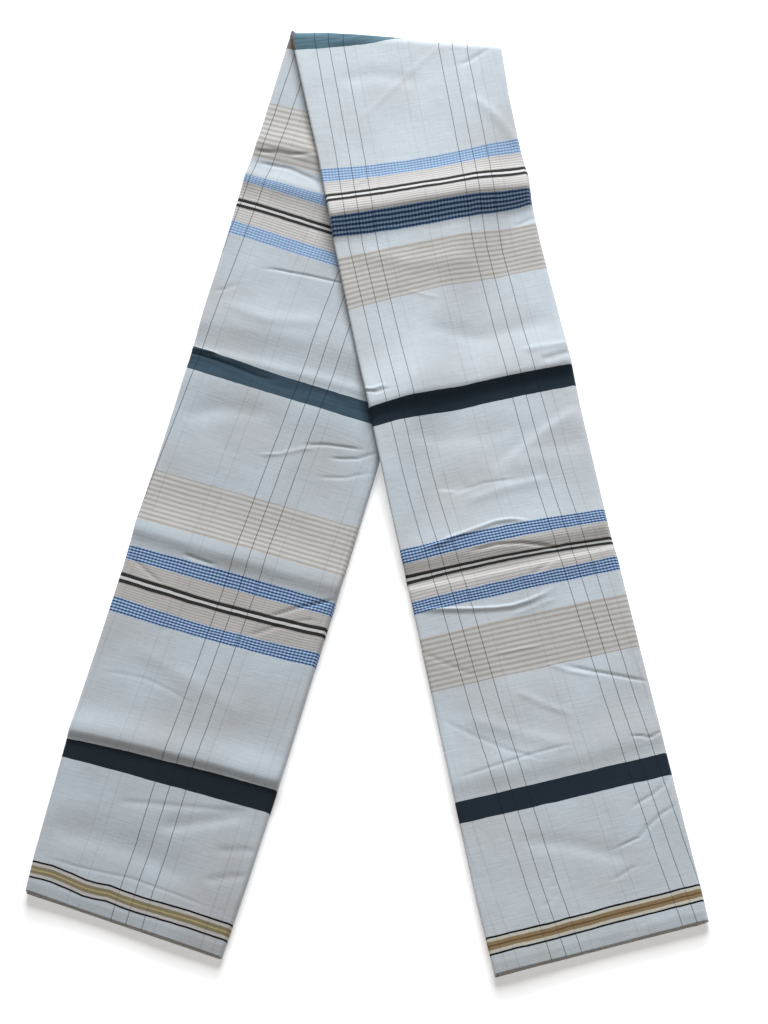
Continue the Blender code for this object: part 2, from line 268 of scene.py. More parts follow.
def startShare(leg, rightSide, overlap=0.0):
    # Where the leg begins, just inside the rounded turn, or overlap (mm) further back
    start, hem = edgeEnds(leg, rightSide)
    return (turnRadius + (strip["seamGap"] - overlap) * mm) / (hem - start).dot(turnInward)


def legStart(leg):
    # At the left and right edges. The under leg runs a little way into the turn's seam
    overlap = 0.0 if leg["liesOver"] else strip["seamOverlap"]
    return startShare(leg, False, overlap), startShare(leg, True, overlap)


def curvedLine(left, middle, right, u):
    # w of a line across the leg that passes these three places, at u 0.06, 0.5 and 0.94
    side = (u - 0.5) / 0.44
    return middle + side * (right - left) / 2 + side * side * ((left + right) / 2 - middle)


def clothPlace(leg, u, w):
    # Place along the cloth in mm from its middle, negative on the under leg
    sign = 1 if leg["liesOver"] else -1
    ripple = between(leg["ripples"], u) * smooth((w - strip["rippleFrom"]) / strip["rippleRun"])
    w -= ripple * mm / leg["length"]
    low = None
    for place, left, middle, right in leg["bands"]:
        line = curvedLine(left, middle, right, u)
        if w < line:
            if low is None:
                return place - sign * (line - w) * leg["length"] / mm
            share = (w - low[1]) / (line - low[1])
            return low[0] + share * (place - low[0])
        low = (place, line)
    return low[0] + sign * (w - low[1]) * leg["length"] / mm


def threadPlace(leg, across, w):
    # Place across the cloth in mm, such that the warp lines stand at fixed places
    first, second = between(leg["threads"], w, 1), between(leg["threads"], w, 2)
    share = (across / mm - first) / (second - first)
    return clothLook["warpLines"][0] + share * clothLook["warpRepeat"]


def creaseHeight(leg, u, w):
    height = 0.0
    for left, middle, right, high, up, down, uEnd in leg["creases"]:
        away = (w - curvedLine(left, middle, right, u)) * leg["length"] / mm
        reach = up if away < 0 else down
        if abs(away) < strip["creaseLimit"] * reach:
            fade = smooth((uEnd - u) / strip["creaseFade"])
            height += high * math.exp(-(away / reach) ** 2) * fade
    (crest, crestScale), (foot, footScale) = strip["crest"], strip["foot"]
    for left, middle, right, high, up, down in leg["steps"]:
        away = (w - curvedLine(left, middle, right, u)) * leg["length"] / mm
        if away < 0:
            height += high * math.exp(-(away / up) ** 2)
        elif away < 2 * down:
            fallen = (math.hypot(away / down, crest) - crest) / crestScale
            height += high * (1 - fallen + math.hypot(1 - fallen, foot)) / footScale
    return height * mm


def wrinkleHeight(leg, u, w, point, widen):
    # widen (mm) is for the inner layers, whose coarse mesh has to give way to troughs above
    height = 0.0
    for high, up, down, path, lengths, box in leg["folds"]:
        if widen and high > 0 or not (box[0] < u < box[1] and box[2] < w < box[3]):
            continue
        best = None
        for index in range(len(path) - 1):
            low, step = path[index], path[index + 1] - path[index]
            share = min(max((point - low).dot(step) / step.length_squared, 0.0), 1.0)
            away = point - (low + step * share)
            if best is None or away.length_squared < best[0]:
                place = lengths[index] + share * (lengths[index + 1] - lengths[index])
                best = (away.length_squared, away, step, place)
        towardsHem = best[1].dot(Vector((best[2].y, -best[2].x))) > 0
        reach = ((down if towardsHem else up) + widen) * mm
        along = best[3] / lengths[-1]
        taper = smooth(along / strip["wrinkleFade"]) * smooth((1 - along) / strip["wrinkleFade"])
        height += high * math.exp(-best[0] / reach ** 2) * taper
    return height * mm


def softWaves(point, leg):
    # Low, uneven waves of cloth that has been ironed and then handled
    height = strip["waveLift"]
    for (lengthX, lengthY, high), apart in ((strip["slowWaves"], 0), (strip["quickWaves"], 9)):
        place = (point.x / (lengthX * mm), point.y / (lengthY * mm), leg["waveShift"] + apart)
        height += high * noise.noise(Vector(place))
    return height * mm


def besideEdge(leg, rightSide, point):
    # How far a point lies to the right of this edge of the leg, in mm
    start, hem = edgeEnds(leg, rightSide)
    along = (hem - start).normalized()
    w = (point - start).dot(along) / (hem - start).length
    edge = edgePoint(leg, rightSide, min(max(w, 0.0), 1.0))
    return (point - edge).dot(Vector((-along.y, along.x))) / mm


def liftAt(point):
    # Height of the table, or of the under leg, beneath a point of the over leg
    beyond = besideEdge(underLeg, True, point) - strip["stepFlat"]
    return (thick + legGap) * (1 - smooth(beyond / strip["stepRun"]))


def freeShare(leg, point):
    # 1 where the cloth may rise, and 0 on the under leg where the over leg lies on it
    if leg["liesOver"]:
        return 1.0
    beneath = besideEdge(overLeg, False, point) - strip["heldFrom"]
    return 1 - smooth(beneath / strip["heldRun"])


def upperShare(z):
    # 0 at the middle of the thickness and 1 at the top
    return smooth((z / thick - 0.5) * 2)


def hemTaper(leg, w):
    share = 1 - (1 - w) * leg["length"] / (strip["hemReach"] * mm)
    return 1 - strip["hemThinner"] * min(max(share, 0.0), 1.0)


def prepareLegs():
    for leg in legs:
        ends = [edgeEnds(leg, rightSide) for rightSide in (False, True)]
        leg["length"] = sum((hem - start).length for start, hem in ends) / 2
        leg["folds"] = []  # the wrinkles as paths in metres, each with the box that it reaches
        for high, up, down, path in leg["wrinkles"]:
            points = [edgePoint(leg, False, w) * (1 - u) + edgePoint(leg, True, w) * u
                      for u, w in path]
            lengths = [0.0]
            for low, end in zip(points, points[1:]):
                lengths.append(lengths[-1] + (end - low).length)
            pad = (strip["creaseLimit"] * max(up, down) + (8 if high < 0 else 0)) * mm
            padU, padW = pad / 0.13, pad / 0.62  # a leg is at least this wide and this long
            box = (min(u for u, w in path) - padU, max(u for u, w in path) + padU,
                   min(w for u, w in path) - padW, max(w for u, w in path) + padW)
            leg["folds"].append((high, up, down, points, lengths, box))


def legPlace(leg, wPair, a, z, across, isCover):
    # A point of the leg: a from its left edge, z above its own underside. Only the cover takes
    # the wrinkles in full. Returns the point and its places on the cloth
    left, right = edgePoint(leg, False, wPair[0]), edgePoint(leg, True, wPair[1])
    u = a / (right - left).length
    w = wPair[0] + u * (wPair[1] - wPair[0])
    point = left + (right - left) * u
    free = freeShare(leg, point)
    height = z * (1 + free * creaseHeight(leg, u, w) / thick) * hemTaper(leg, w)
    if z > thick / 2:
        widen = 0 if isCover else hidden["troughWiden"]
        relief = wrinkleHeight(leg, u, w, point, widen) + softWaves(point, leg)
        if not isCover:  # the hidden layers only give way
            least, most = hidden["giveWay"]
            relief = max(min(relief, 0) - least * mm, -most * mm)
        height += relief * free * upperShare(z)
    if leg["liesOver"]:
        height += liftAt(point)
    return Vector((point.x, point.y, height)), (threadPlace(leg, across, w), clothPlace(leg, u, w))


def turnPlace(angle, a, z, across, width):
    # The same on the half round of the turn, from 90 degrees at the top to -90 below
    share = (angle + 90) / 180
    ends = []
    for rightSide in (False, True):
        start, _ = edgeEnds(overLeg, rightSide)
        low = edgePoint(underLeg, rightSide, startShare(underLeg, rightSide))
        high = edgePoint(overLeg, rightSide, startShare(overLeg, rightSide))
        end = low + (high - low) * share
        ends.append(end + turnInward * (turnRadius - (end - start).dot(turnInward)))
    left, right = ends
    u = a / width
    turn = math.radians(angle)
    out = turnRadius * (math.radians(90) - turn)
    wEdge = startShare(overLeg, False) * (1 - u) + startShare(overLeg, True) * u
    w = wEdge - out / overLeg["length"]
    point = left + (right - left) * u
    radius = legGap / 2 + z
    if z > thick / 2:
        relief = softWaves(point, overLeg) + creaseHeight(overLeg, u, wEdge)
        first, run = strip["turnRelief"]
        radius += relief * upperShare(z) * smooth((angle - first) / run)
    bulge = between(strip["turnBulges"], u) * mm
    reach = radius * (1 + bulge / turnRadius)
    place = point - turnInward * (reach * math.cos(turn))
    return (Vector((place.x, place.y, turnRadius + radius * math.sin(turn))),
            (threadPlace(overLeg, across, 0), clothPlace(overLeg, u, w)))


def arc(centreA, centreZ, radius, first, last, count):
    angles = [math.radians(first + (last - first) * i / (count - 1)) for i in range(count)]
    return [(centreA + radius * math.cos(t), centreZ + radius * math.sin(t)) for t in angles]


def addObject(name, mesh, material):
    # Makes an object of a bmesh
    data = bpy.data.meshes.new(name)
    mesh.to_mesh(data)
    mesh.free()
    data.materials.append(material)
    piece = bpy.data.objects.new(name, data)
    bpy.context.scene.collection.objects.link(piece)
    return piece


def gridMesh(name, columns, rows, placeOf, material):
    # A plain grid whose points are moved to placeOf(column, row), with the cloth places as UV
    mesh = bmesh.new()
    bmesh.ops.create_grid(mesh, x_segments=columns - 1, y_segments=rows - 1, size=0.5)
    layer = mesh.loops.layers.uv.new("clothPlace")
    places = {}
    for vert in mesh.verts:
        column = round((vert.co.x + 0.5) * (columns - 1))
        row = round((vert.co.y + 0.5) * (rows - 1))
        vert.co, places[vert] = placeOf(column, row)
    for face in mesh.faces:
        face.smooth = True
        for loop in face.loops:
            loop[layer].uv = (places[loop.vert][0] * mm, places[loop.vert][1] * mm)
    return addObject(name, mesh, material)


# The outermost cloth, in millimetres
cover = {
    "wall": 0.3,  # how thick the cloth looks at its free edges
    "lipBottom": 2.95,  # a rounded lip at the open side
    "lipRadius": 1.325,
    "lipTuck": [(7.0, 0.1), (3.0, 0.0)],  # under the lip: from the left, above its bottom
    "rawEdge": 1.5,  # where the cloth ends on the underside, from the left
    "rawEdgeFold": 5.0,
    "hemTurn": 3.0,  # turned in at the hem, so that the cloth's edge shows
    "rowStep": 0.65,  # mesh spacing along the cloth, fine for its wrinkles
    "columnStep": 1.95,  # and across it
    "turnStep": 9,  # and round the turn, in degrees
    "lipPoints": 7,
    "foldPoints": 9,
    "undersidePoints": 6,
}


def coverSection(width):
    # Cut through the outermost cloth: in under the lip of the open side, over the top, round
    # the folded edge and back below to the raw edge. Each point has its inward direction
    half, wall, rawEdge = thick / 2, cover["wall"] * mm, cover["rawEdge"] * mm
    lipRadius, lipBottom = cover["lipRadius"] * mm, cover["lipBottom"] * mm
    lipMiddle = lipBottom + lipRadius
    points = [((a * mm, lipBottom + above * mm), (0, 1)) for a, above in cover["lipTuck"]]
    for a, z in arc(lipRadius, lipMiddle, lipRadius, 270, 90, cover["lipPoints"]):
        points.append(((a, z), ((lipRadius - a) / lipRadius, (lipMiddle - z) / lipRadius)))
    count = round((strip["width"] * mm - lipRadius - half) / (cover["columnStep"] * mm))
    for index in range(1, count):
        a = lipRadius + (width - half - lipRadius) * index / count
        points.append(((a, thick), (0, -1)))
    for a, z in arc(width - half, half, half, 90, -90, cover["foldPoints"]):
        points.append(((a, z), ((width - half - a) / half, (half - z) / half)))
    for index in range(1, cover["undersidePoints"] + 1):
        a = width - half + (rawEdge - width + half) * index / cover["undersidePoints"]
        points.append(((a, 0.0), (0, 1)))
    return points + [((a, wall), (0, 0)) for a in (rawEdge, cover["rawEdgeFold"] * mm)]


def acrossOf(points):
    # Distance along the cut, counted from the left edge of the top
    distances = [0.0]
    for low, high in zip(points, points[1:]):
        distances.append(distances[-1] + math.dist(low, high))
    top = max(range(len(points)), key=lambda i: (round(points[i][1], 6), -points[i][0]))
    return [d - distances[top] + points[top][0] for d in distances]


def buildCover(leg, material):
    # The outermost cloth of a leg, and on the over leg of the turn too
    begin = legStart(leg)
    turnWidth = rowWidth(leg, begin)
    wall, turnStep = cover["wall"] * mm, cover["turnStep"]
    angles = range(-90 - turnStep, 90, turnStep) if leg["liesOver"] else ()
    rows = [("turn", angle) for angle in angles]
    count = round((1 - sum(begin) / 2) * leg["length"] / (cover["rowStep"] * mm))
    for index in range(count + 1):
        rows.append(("leg", tuple(w + (1 - w) * index / count for w in begin)))
    rows += [("hem", (1 - inside * mm / leg["length"],) * 2) for inside in (0, cover["hemTurn"])]
    cuts = [coverSection(turnWidth if kind == "turn" else rowWidth(leg, at)) for kind, at in rows]
    acrosses = [acrossOf([place for place, _ in cut]) for cut in cuts]

    def placeOf(column, row):
        (kind, at), across = rows[row], acrosses[row][column]
        (a, z), inward = cuts[row][column]
        if kind == "turn":
            return turnPlace(at, a, z, across, turnWidth)
        if kind == "hem":
            a, z = a + inward[0] * wall, z + inward[1] * wall
        return legPlace(leg, at, a, z, across, True)

    piece = gridMesh(leg["name"] + "LegCover", len(cuts[0]), len(rows), placeOf, material)
    highest = max(piece.data.polygons, key=lambda face: face.center.z)
    if highest.normal.z < 0:  # the faces point up where the sheet lies on top
        piece.data.flip_normals()
    return piece


# The fourteen layers inside, in millimetres. Upper layers count down from the top and lower
# layers up from the bottom
hidden = {
    "wall": 0.26,
    "pitch": 0.28,  # from one layer to the next
    "fromTop": 0.5,
    "fromBottom": 0.4,
    "layers": 8,  # in each half, counted with the cover
    "leftEdges": {"upper": [0.0, 0.55, 0.9, 1.25, 1.25, 0.9, 0.55, 2.3],
                  "lower": [1.5, 1.7, 1.1, 1.1, 0.5, 0.85, 0.85, 0.5]},
    "order": [("upper", 7), ("lower", 7), ("lower", 4), ("upper", 4), ("upper", 3),
              ("lower", 3), ("lower", 2), ("upper", 2), ("upper", 5), ("lower", 5),
              ("lower", 6), ("upper", 6), ("upper", 1), ("lower", 1)],  # as the cloth runs
    "hemSteps": [0.1, 0.5, -0.3, 0.2, -0.5, 0.4, 0.0, -0.4, 0.3, 0.6, -0.2, 0.1, 0.5, -0.1],
    "hemZone": 8.0,  # the layers part over this length, each ending by its hem step
    "endSway": 0.5,  # and their ends sway by this much
    "endLength": 12.0,
    "endShift": 3.1,  # so that no two sway alike
    "giveWay": (0.1, 1.7),  # the least and most that they keep below the cover
    "troughWiden": 5,  # wider than the cover's troughs, for the coarse mesh
    "rowStep": 9.0,  # mesh spacing along the layers
    "creaseZone": 22.0,  # closer beside the creases, by this share
    "creaseShare": 0.33,
    "lastRows": (5, 2, 0),  # before the hem
    "turnStep": 20,  # degrees
    "columns": 12,
    "foldPoints": 7,
    "nosePoints": 5,
}


def layersSection(width):
    # Cut through the fourteen hidden layers, as the cloth's own path. Each pair joins round
    # the folded edge, and round a nose at the open side it goes on to the next pair
    counts = range(hidden["layers"])
    heights = {"upper": [thick - (hidden["fromTop"] + hidden["pitch"] * k) * mm for k in counts],
               "lower": [(hidden["fromBottom"] + hidden["pitch"] * k) * mm for k in counts]}
    order, columns = hidden["order"], hidden["columns"]
    half = thick / 2
    points, layerOf = [], []
    for step, (side, index) in enumerate(order):
        z = heights[side][index]
        goesRight = step % 2 == 0
        inset = hidden["leftEdges"][side][index] * mm
        nose = 0.0
        if 0 < step < len(order) - 1:
            partner = order[step - 1] if goesRight else order[step + 1]
            nose = abs(z - heights[partner[0]][partner[1]]) / 2
        start = inset + nose
        row = [(start + (width - half - start) * share, z)
               for share in [0.0] + [(i + 0.5) / columns for i in range(columns)]]
        points += row if goesRight else row[::-1]
        layerOf += [step] * len(row)
        if step == len(order) - 1:
            break
        if goesRight:  # round the folded edge to the partner layer
            count, first = hidden["foldPoints"], 90 if side == "upper" else -90
            points += arc(width - half, half, abs(z - half), first, -first, count)
        else:  # round the nose at the open side
            other = heights[order[step + 1][0]][order[step + 1][1]]
            radius = abs(z - other) / 2
            count, first = hidden["nosePoints"], 90 if z > other else 270
            points += arc(inset + radius, (z + other) / 2, radius, first, 360 - first, count)
        layerOf += [step] * (count // 2) + [step + 0.5] + [step + 1] * (count // 2)
    return points, layerOf


def buildLayers(leg, material):
    # The hidden layers, folded from one length of cloth, with their ends stepped at the hem
    begin = legStart(leg)
    turnWidth = rowWidth(leg, begin)
    angles = range(-90, 90, hidden["turnStep"]) if leg["liesOver"] else ()
    rows = [("turn", angle) for angle in angles]
    crests = [crease[1] for crease in leg["creases"] + leg["steps"]]
    at = 0.0
    while at < 1 - hidden["hemZone"] * mm / leg["length"]:  # closer rows beside the creases
        rows.append(("leg", tuple(w + (1 - w) * at for w in begin)))
        middle = sum(rows[-1][1]) / 2
        away = min(abs(middle - crest) for crest in crests) * leg["length"]
        share = hidden["creaseShare"] if away < hidden["creaseZone"] * mm else 1.0
        at += hidden["rowStep"] * share * mm / leg["length"]
    rows += [("leg", (1 - away * mm / leg["length"],) * 2) for away in hidden["lastRows"]]
    layerOf = layersSection(turnWidth)[1]
    cuts = [layersSection(turnWidth if kind == "turn" else rowWidth(leg, at))[0]
            for kind, at in rows]

    def placeOf(column, row):
        kind, at = rows[row]
        a, z = cuts[row][column]
        if kind == "turn":
            return turnPlace(at, a, z, a, turnWidth)
        layer, steps = layerOf[column], hidden["hemSteps"]
        low, high = steps[int(layer)], steps[min(int(layer) + 1, len(steps) - 1)]
        step = low + (high - low) * (layer - int(layer))
        place = (a / (hidden["endLength"] * mm), layer * hidden["endShift"], 0)
        step += hidden["endSway"] * noise.noise(Vector(place))
        near = smooth(1 - (1 - at[0]) * leg["length"] / (hidden["hemZone"] * mm))
        pair = tuple(w - step * near * mm / leg["length"] for w in at)
        return legPlace(leg, pair, a, z, a, False)

    piece = gridMesh(leg["name"] + "LegLayers", len(layerOf), len(rows), placeOf, material)
    wall = piece.modifiers.new("clothWall", "SOLIDIFY")
    wall.thickness = hidden["wall"] * mm
    wall.offset = 0
    return piece


def linearColour(code):
    # sRGB hex to the linear colour that a shader takes
    parts = [int(code[i:i + 2], 16) / 255 for i in (1, 3, 5)]
    return tuple(c / 12.92 if c <= 0.04045 else ((c + 0.055) / 1.055) ** 2.4 for c in parts) + (1,)


def addNode(tree, kind, inputs=(), operation=None, output=0, **settings):
    # Adds a node with its settings, fills its inputs with values or links, gives one output
    node = tree.nodes.new("ShaderNode" + kind)
    if operation:
        node.operation = operation
    for name, value in settings.items():
        setattr(node, name, value)
    for name, value in inputs.items() if isinstance(inputs, dict) else enumerate(inputs):
        if isinstance(value, bpy.types.NodeSocket):
            tree.links.new(value, node.inputs[name])
        else:
            node.inputs[name].default_value = value
    return node.outputs[output]


# Handloom cotton, woven in plain weave from dyed yarn: matt and slightly fuzzy, with uneven
# threads that give faint lines both ways. Sizes in millimetres. The repeat is a slate band,
# then a blue and black group, then fine beige stripes
clothLook = {
    "colours": {
        "ground": "#C6D0D7", "groundShade": "#BFC3C7",
        # The two ground colours of the under leg are the same cloth darkened as painted shade, the
        # second with its random blotches
        "groundPaintedShade": "#BCC6CD", "groundBlotchPaintedShade": "#B4B8BC",
        "slate": "#1F2B35", "slateUnder": "#1A242C",
        # The next two slate colours are painted sheen: lighter slate where the bands face the
        # light, and lighter still on the turn
        "slatePaintedSheen": "#384C5A", "slateTurnPaintedSheen": "#5A7885",
        # The last blue on this line is painted shade
        "blue": "#0D3367", "blueLight": "#B6D2F0", "bluePaintedShade": "#1C2836",
        # The last pin colour on this line is painted shade
        "pinGround": "#C9C8C8", "pinLine": "#A8A29D", "pinPaintedShade": "#8E8983",
        "black": "#0A0C0D", "beigeGround": "#C3C3C1", "beige": "#A5A099",
        "borderGround": "#C6C4B8", "borderGroundUnder": "#B9B6B2", "border": "#0E0F14",
        "gold": "#8E795A", "goldLine": "#6B5237",
        "goldUnder": "#837860", "goldUnderLine": "#AE9F70",
        "rawEdge": "#D3CAB8", "cornerShade": "#6E635B", "warpLine": "#15181C",
    },
    "shader": {"Roughness": 0.86, "IOR": 1.5, "Specular IOR Level": 0.12, "Sheen Weight": 0.05,
               "Sheen Roughness": 0.5},
    "bump": {"Strength": 0.3, "Distance": 0.35 * mm},
    "repeat": 272.0,  # from one slate band to the next
    "groupPlace": 118.2,  # the middle of the blue and black group in the repeat
    "borderPlace": 628.75,  # from the middle of the cloth to the middle of each border
    "hemGround": -12.0,  # plain cloth from here on, counted from the middle of the border
    "paintedShadeFrom": -30.0,  # painted shade: the ground is darker from here on, over the under leg
    # painted shade on the pin stripes from here on, over the under leg
    "pinsShadeFrom": -300.0,
    # Bands: what the middle is counted from, the middle and half the width
    "bands": {
        "slate": ("slate", 0.0, 7.5), "beiges": ("repeat", 177.25, 18.6),
        "gap": ("group", 0.0, 0.9), "black": ("group", 1.95, 1.1),
        "pins": ("group", 6.5, 6.6), "blues": ("group", 18.0, 4.8),
        "border": ("border", 0.0, 4.6), "gold": ("border", 0.0, 2.6),
        "goldLine": ("border", 0.0, 0.5), "borderLine": ("borderSide", 5.25, 0.62),
        "paintedLightBlues": ("along", -31.0, 149.0),  # near the turn: painted light, the blues lighter where the light is brightest
        "shadedBlues": ("along", 136.2, 5.5),  # painted shade on the blues on the fall below the over leg's high step
        # painted sheen on the slate bands that face the light, on the turn and the under leg
        "sheenSlate": ("along", -110.0, 180.0),
        "turnSheenSlate": ("along", 0.0, 14.0),  # on the turn, a stronger painted sheen
        "cornerInside": ("along", -26.0, 6.0), "cornerEdge": ("along", -14.0, 20.0),
    },
    # Fine lines: what the first is counted from, its place, and the pitch. Real threads are
    # about 0.35 mm apart, drawn coarser to show
    "lines": {
        "beige": ("repeat", 158.5, 3.55), "pin": ("group", 0.0, 1.75),
        "blue": ("group", 14.16, 1.92), "check": ("across", 0.0, 2.2),
        "hatch": ("diagonal", 0.0, 1.6), "warpBreak": ("along", 0.0, 1.4),
        "warp": ("across", 0.0, 0.9), "weft": ("along", 0.0, 0.9),
    },
    "warpRepeat": 81.7,  # single dark warp threads in threes
    "warpLines": [15.2, 24.2, 33.9],
    "warpHalf": 0.27,
    "ghostLines": [41.2, 69.7, 76.9],  # the same threads of the layers beneath
    "ghostHalf": 0.5,
    "cornerWidths": {"cornerInside": 24.0, "cornerEdge": 1.6},
    # Unevenness: its size across and along the cloth, and its detail
    "uneven": {"patch": (58.8235, 58.8235, 4), "streak": (25.0, 1.81818, 3),
               "warpYarn": (1.33333, 26.6667, 3), "weftYarn": (16.6667, 1.33333, 3)},
    "sway": 11.1111,  # threads sway over this length
    "swayMost": (0.5, 0.9, 0),  # and by up to half of this
    "crumple": 6.25,
    # What a mask or a noise is multiplied by, and what is added to it
    "levels": {"blotch": (3.0, -1.0), "streak": (3.4, -1.35), "check": (0.12, 0.86),
               "paintedLight": (-0.35, 1.0), "hatch": (-0.1, 1.0), "warpBreak": (0.3, 0.46),
               "covered": (-0.5, 1.0), "yarn": (0.12, 0.88)},
    "streakSlope": 0.06,  # streaks that break up the painted sheen grow over the width of the slate band
    "beigePower": 1.3,  # above 1 a line is finer
    "pinPower": 2.0,
    "blueFrom": 0.45,  # a blue line is where its wave is above this
    "dotInk": 0.5,  # blue warp shows as dots on the light stripes between them
    # How strongly a colour covers, where it isn't fully
    "strength": {"pinPaintedShade": 0.3, "bluePaintedShade": 0.3, "streaks": 0.45, "ghosts": 0.16,
                 "rawEdge": 0.65, "cornerShade": 0.9},
    "weaveRelief": 0.2,  # against 1 for the yarn
    "crumpleRelief": 2.2,
}


def newMaterial(name, settings):
    material = bpy.data.materials.new(name)
    material.use_nodes = True
    shader = material.node_tree.nodes["Principled BSDF"]
    for part, value in settings.items():
        shader.inputs[part].default_value = value
    return material, shader


def layCoats(tree, colour, ink, coats):
    # Lays each colour over the ones before it, through the product of its masks
    for part, mask, *others in coats:
        for other in others:
            mask = addNode(tree, "Math", (mask, other), "MULTIPLY")
        colour = addNode(tree, "Mix", {0: mask, 6: colour, 7: ink[part]}, output=2,
                         data_type="RGBA")
    return colour


def clothMaterial(name, isInside):
    # isInside is for the hidden layers, seen by their raw edges
    look, strength = clothLook, clothLook["strength"]
    ink = {part: linearColour(code) for part, code in look["colours"].items()}
    material, shader = newMaterial(name, look["shader"])
    tree = material.node_tree

    # Places on the cloth in millimetres, swaying a little as handwoven threads do
    flat = addNode(tree, "UVMap", uv_map="clothPlace")
    flat = addNode(tree, "VectorMath", (flat, (1000, 1000, 0)), "MULTIPLY")
    sway = addNode(tree, "TexNoise", {"Vector": flat, "Scale": 1 / look["sway"], "Detail": 2},
                   output=1)
    sway = addNode(tree, "VectorMath", (sway, (0.5, 0.5, 0.5)), "SUBTRACT")
    sway = addNode(tree, "VectorMath", (sway, look["swayMost"]), "MULTIPLY")
    moved = addNode(tree, "VectorMath", (flat, sway), "ADD")
    across, along = (addNode(tree, "SeparateXYZ", (moved,), output=axis) for axis in (0, 1))
    uneven = {}
    for part, (sizeAcross, sizeAlong, detail) in look["uneven"].items():
        sizes = (1 / sizeAcross, 1 / sizeAlong, 1)
        scaled = addNode(tree, "Mapping", {"Vector": flat, "Scale": sizes})
        uneven[part] = addNode(tree, "TexNoise", {"Vector": scaled, "Scale": 1, "Detail": detail})
    yarns = addNode(tree, "Math", (uneven["warpYarn"], uneven["weftYarn"]), "ADD")

    # What bands and lines are counted from
    repeat = look["repeat"]
    fromSlate = addNode(tree, "Math", (along, repeat / 2), "ADD")
    fromSlate = addNode(tree, "Math", (fromSlate, repeat), "FLOORED_MODULO")
    fromSlate = addNode(tree, "Math", (fromSlate, repeat / 2), "SUBTRACT")
    inRepeat = addNode(tree, "Math", (along, repeat), "FLOORED_MODULO")
    fromGroup = addNode(tree, "Math", (inRepeat, look["groupPlace"]), "SUBTRACT")
    fromBorder = addNode(tree, "Math", (along,), "ABSOLUTE")
    fromBorder = addNode(tree, "Math", (fromBorder, look["borderPlace"]), "SUBTRACT")
    origins = {
        "across": across, "along": along, "repeat": inRepeat, "slate": fromSlate,
        "border": fromBorder, "diagonal": addNode(tree, "Math", (across, along), "ADD"),
        "group": addNode(tree, "Math", (fromGroup,), "ABSOLUTE"),
        "borderSide": addNode(tree, "Math", (fromBorder,), "ABSOLUTE")}

    bands = {band: addNode(tree, "Math", (origins[origin], middle, half), "COMPARE")
             for band, (origin, middle, half) in look["bands"].items()}
    waves = {}
    for line, (origin, first, pitch) in look["lines"].items():  # 1 on each line, 0 between
        wave = addNode(tree, "Math", (origins[origin], first), "SUBTRACT")
        wave = addNode(tree, "Math", (wave, 2 * math.pi / pitch), "MULTIPLY")
        wave = addNode(tree, "Math", (wave,), "COSINE")
        waves[line] = addNode(tree, "Math", (wave, 0.5, 0.5), "MULTIPLY_ADD")
    inWarp = addNode(tree, "Math", (across, look["warpRepeat"]), "FLOORED_MODULO")
    threads = {"warp": 0.0, "ghost": 0.0}
    for kind, lines, half in (("warp", look["warpLines"], look["warpHalf"]),
                              ("ghost", look["ghostLines"], look["ghostHalf"])):
        for line in lines:
            line = addNode(tree, "Math", (inWarp, line, half), "COMPARE")
            threads[kind] = addNode(tree, "Math", (threads[kind], line), "MAXIMUM")
    sources = {"blotch": uneven["patch"], "streak": uneven["streak"], "check": waves["check"],
               "paintedLight": bands["paintedLightBlues"], "hatch": waves["hatch"], "yarn": yarns,
               "warpBreak": waves["warpBreak"], "covered": bands["border"]}
    levels = {part: addNode(tree, "Math", (source, *look["levels"][part]), "MULTIPLY_ADD")
              for part, source in sources.items()}

    # Masks made of several
    underLegShadeMask = addNode(tree, "Math", (along, look["paintedShadeFrom"]), "LESS_THAN")
    onOver = addNode(tree, "Math", (along, 0.0), "GREATER_THAN")
    atHem = addNode(tree, "Math", (fromBorder, look["hemGround"]), "GREATER_THAN")
    beigeWave = addNode(tree, "Math", (1.0, waves["beige"]), "SUBTRACT")
    beigeWave = addNode(tree, "Math", (beigeWave, look["beigePower"]), "POWER")
    pinWave = addNode(tree, "Math", (waves["pin"], look["pinPower"]), "POWER")
    pinsShaded = addNode(tree, "Math", (along, look["pinsShadeFrom"]), "LESS_THAN")
    blueInk = addNode(tree, "Math", (waves["blue"], look["blueFrom"]), "GREATER_THAN")
    blueInk = addNode(tree, "Math", (blueInk, levels["check"]), "MULTIPLY")
    dots = addNode(tree, "Math", (waves["check"], look["dotInk"]), "MULTIPLY")
    blueInk = addNode(tree, "Math", (blueInk, dots), "MAXIMUM")
    streaks = (fromSlate, look["streakSlope"], levels["streak"])
    streaks = addNode(tree, "Math", streaks, "MULTIPLY_ADD")
    corner = 0.0  # painted shade: the inner side of the turn shows, in shadow, at its left corner
    for band, width in look["cornerWidths"].items():
        near = addNode(tree, "Math", (across, width), "LESS_THAN")
        near = addNode(tree, "Math", (bands[band], near), "MULTIPLY")
        corner = addNode(tree, "Math", (corner, near), "MAXIMUM")

